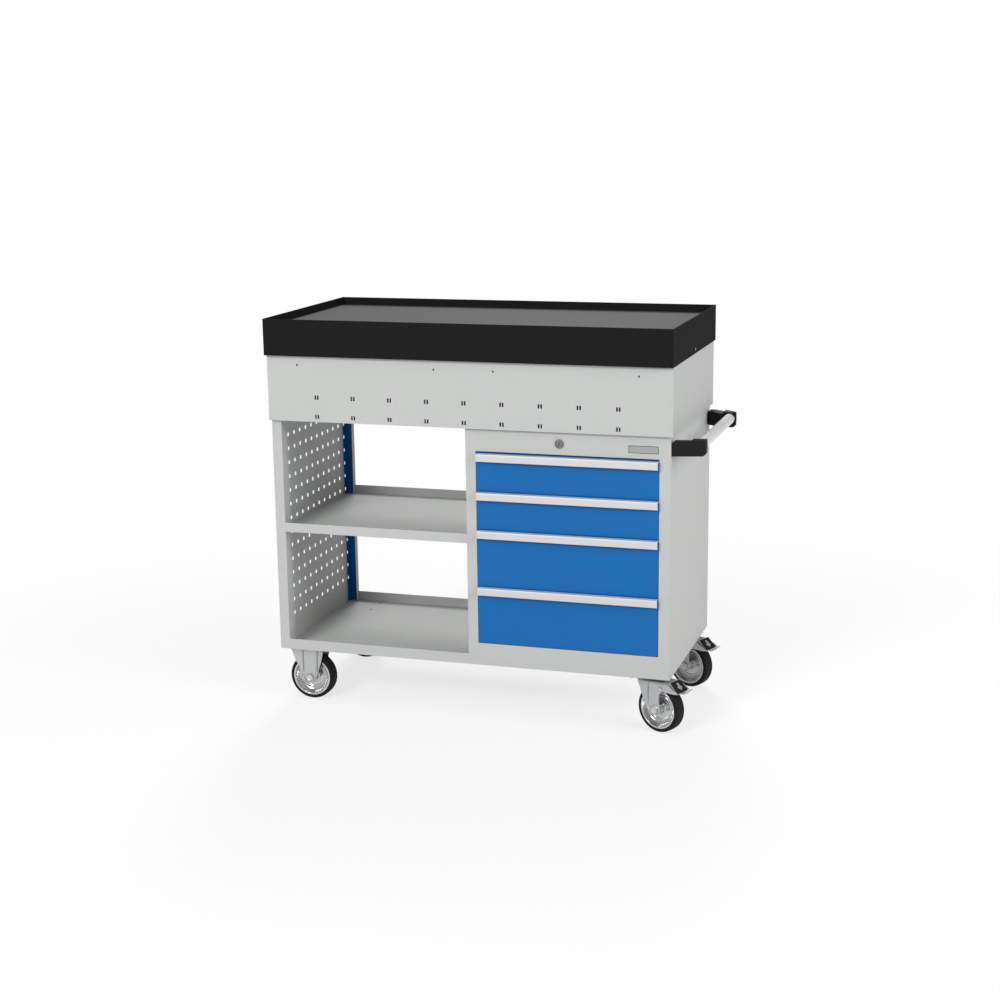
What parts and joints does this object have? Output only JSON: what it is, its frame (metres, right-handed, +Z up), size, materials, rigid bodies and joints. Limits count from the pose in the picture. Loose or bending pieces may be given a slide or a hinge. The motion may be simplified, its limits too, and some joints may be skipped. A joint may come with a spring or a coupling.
{
  "type": "mobile workbench with drawers",
  "caption": "Wheeled steel workbench: rimmed mat top on a slotted apron, open shelf bay with perforated side, stack of lockable drawers, push handle, braked swivel castors.",
  "frame": {"origin": "on the floor, at the centre of the overall footprint, handle included", "axes": "+X along the bench towards the push handle, +Y from the drawer side to the rear, +Z up"},
  "size_m": [1.1526, 0.543, 1.04],
  "materials": {
    "body_grey": "satin, fine texture",
    "paint_blue": "semi-gloss",
    "tray_black": "satin, fine texture",
    "mat_grey": "matt",
    "strip_aluminium": "brushed along its length, anodised",
    "tube_aluminium": "satin",
    "bracket_black": "fine grain",
    "rail_zinc": "zinc plated",
    "fork_zinc": "zinc plated, pressed",
    "screw_steel": "zinc plated",
    "lock_steel": "satin nickel",
    "plate_grey": "satin",
    "rim_grey": "zinc plated, pressed",
    "tyre_rubber": "matt",
    "pedal_black": "matt, ribbed"
  },
  "bodies": {
    "cabinet": {"side_panel_left": "body_grey", "side_panel_right": "body_grey", "front_post_left": "body_grey", "rear_post_left": "body_grey", "bottom_tray": "body_grey", "middle_shelf": "body_grey", "divider_panel": "body_grey", "drawer_frame": "body_grey", "rear_panel": "body_grey", "housing_front": "body_grey", "housing_back": "body_grey", "housing_end_left": "body_grey", "housing_end_right": "body_grey", "housing_floor": "body_grey", "rear_upright_blue": "paint_blue", "top_tray": "tray_black", "tray_mat": "mat_grey", "tray_screws": "screw_steel", "lock_body": "lock_steel", "nameplate": "plate_grey", "drawer_fixed_rails": "rail_zinc", "handle_bracket_front": "bracket_black", "handle_bracket_rear": "bracket_black", "handle_tube": "tube_aluminium", "handle_screws": "screw_steel", "fixed_forks": "fork_zinc", "fixed_axles": "screw_steel", "swivel_top_plates": "fork_zinc", "castor_bolts": "screw_steel"},
    "drawer_1": {"drawer_1_box": "body_grey", "drawer_1_front": "paint_blue", "drawer_1_handle": "strip_aluminium"},
    "middle_rails_1": {"drawer_1_middle_rails": "rail_zinc"},
    "drawer_2": {"drawer_2_box": "body_grey", "drawer_2_front": "paint_blue", "drawer_2_handle": "strip_aluminium"},
    "middle_rails_2": {"drawer_2_middle_rails": "rail_zinc"},
    "drawer_3": {"drawer_3_box": "body_grey", "drawer_3_front": "paint_blue", "drawer_3_handle": "strip_aluminium"},
    "middle_rails_3": {"drawer_3_middle_rails": "rail_zinc"},
    "drawer_4": {"drawer_4_box": "body_grey", "drawer_4_front": "paint_blue", "drawer_4_handle": "strip_aluminium"},
    "middle_rails_4": {"drawer_4_middle_rails": "rail_zinc"},
    "lock_plug": {"lock_cylinder": "lock_steel"},
    "fixed_wheel_front": {"fixed_rim_front": "rim_grey", "fixed_tyre_front": "tyre_rubber"},
    "swivel_wheel_front": {"swivel_rim_front": "rim_grey", "swivel_tyre_front": "tyre_rubber"},
    "swivel_front": {"swivel_fork_front": "fork_zinc", "swivel_axle_front": "screw_steel"},
    "pedal_front": {"brake_pedal_front": "pedal_black"},
    "fixed_wheel_rear": {"fixed_rim_rear": "rim_grey", "fixed_tyre_rear": "tyre_rubber"},
    "swivel_wheel_rear": {"swivel_rim_rear": "rim_grey", "swivel_tyre_rear": "tyre_rubber"},
    "swivel_rear": {"swivel_fork_rear": "fork_zinc", "swivel_axle_rear": "screw_steel"},
    "pedal_rear": {"brake_pedal_rear": "pedal_black"}
  },
  "joints": [
    {"name": "drawer_1_slide", "type": "slide", "parent": "cabinet", "child": "drawer_1", "axis": [0, -1, 0], "range_m": [0, 0.42]},
    {"name": "middle_rails_1_slide", "type": "slide", "parent": "cabinet", "child": "middle_rails_1", "axis": [0, -1, 0], "range_m": [0, 0.21]},
    {"name": "drawer_2_slide", "type": "slide", "parent": "cabinet", "child": "drawer_2", "axis": [0, -1, 0], "range_m": [0, 0.42]},
    {"name": "middle_rails_2_slide", "type": "slide", "parent": "cabinet", "child": "middle_rails_2", "axis": [0, -1, 0], "range_m": [0, 0.21]},
    {"name": "drawer_3_slide", "type": "slide", "parent": "cabinet", "child": "drawer_3", "axis": [0, -1, 0], "range_m": [0, 0.42]},
    {"name": "middle_rails_3_slide", "type": "slide", "parent": "cabinet", "child": "middle_rails_3", "axis": [0, -1, 0], "range_m": [0, 0.21]},
    {"name": "drawer_4_slide", "type": "slide", "parent": "cabinet", "child": "drawer_4", "axis": [0, -1, 0], "range_m": [0, 0.42]},
    {"name": "middle_rails_4_slide", "type": "slide", "parent": "cabinet", "child": "middle_rails_4", "axis": [0, -1, 0], "range_m": [0, 0.21]},
    {"name": "lock_turn", "type": "hinge", "parent": "cabinet", "child": "lock_plug", "pos_m": [0.20875, -0.251, 0.743], "axis": [0, 1, 0], "range_deg": [0, 90]},
    {"name": "swivel_turn_front", "type": "hinge", "parent": "cabinet", "child": "swivel_front", "pos_m": [0.42975, -0.189, 0.138], "axis": [0, 0, 1], "continuous": true},
    {"name": "swivel_wheel_spin_front", "type": "hinge", "parent": "swivel_front", "child": "swivel_wheel_front", "pos_m": [0.46264, -0.20364, 0.0625], "axis": [0.4067, 0.9135, 0], "continuous": true},
    {"name": "pedal_press_front", "type": "hinge", "parent": "swivel_front", "child": "pedal_front", "pos_m": [0.47817, -0.21056, 0.121], "axis": [0.4067, 0.9135, 0], "range_deg": [0, 8]},
    {"name": "fixed_wheel_spin_front", "type": "hinge", "parent": "cabinet", "child": "fixed_wheel_front", "pos_m": [-0.50375, -0.189, 0.0625], "axis": [0, 1, 0], "continuous": true},
    {"name": "swivel_turn_rear", "type": "hinge", "parent": "cabinet", "child": "swivel_rear", "pos_m": [0.42975, 0.189, 0.138], "axis": [0, 0, 1], "continuous": true},
    {"name": "swivel_wheel_spin_rear", "type": "hinge", "parent": "swivel_rear", "child": "swivel_wheel_rear", "pos_m": [0.46264, 0.17436, 0.0625], "axis": [0.4067, 0.9135, 0], "continuous": true},
    {"name": "pedal_press_rear", "type": "hinge", "parent": "swivel_rear", "child": "pedal_rear", "pos_m": [0.47817, 0.16744, 0.121], "axis": [0.4067, 0.9135, 0], "range_deg": [0, 8]},
    {"name": "fixed_wheel_spin_rear", "type": "hinge", "parent": "cabinet", "child": "fixed_wheel_rear", "pos_m": [-0.50375, 0.189, 0.0625], "axis": [0, 1, 0], "continuous": true}
  ],
  "couplings": [
    {"joint": "middle_rails_1_slide", "follows": "drawer_1_slide", "ratio": 0.5},
    {"joint": "middle_rails_2_slide", "follows": "drawer_2_slide", "ratio": 0.5},
    {"joint": "middle_rails_3_slide", "follows": "drawer_3_slide", "ratio": 0.5},
    {"joint": "middle_rails_4_slide", "follows": "drawer_4_slide", "ratio": 0.5}
  ]
}
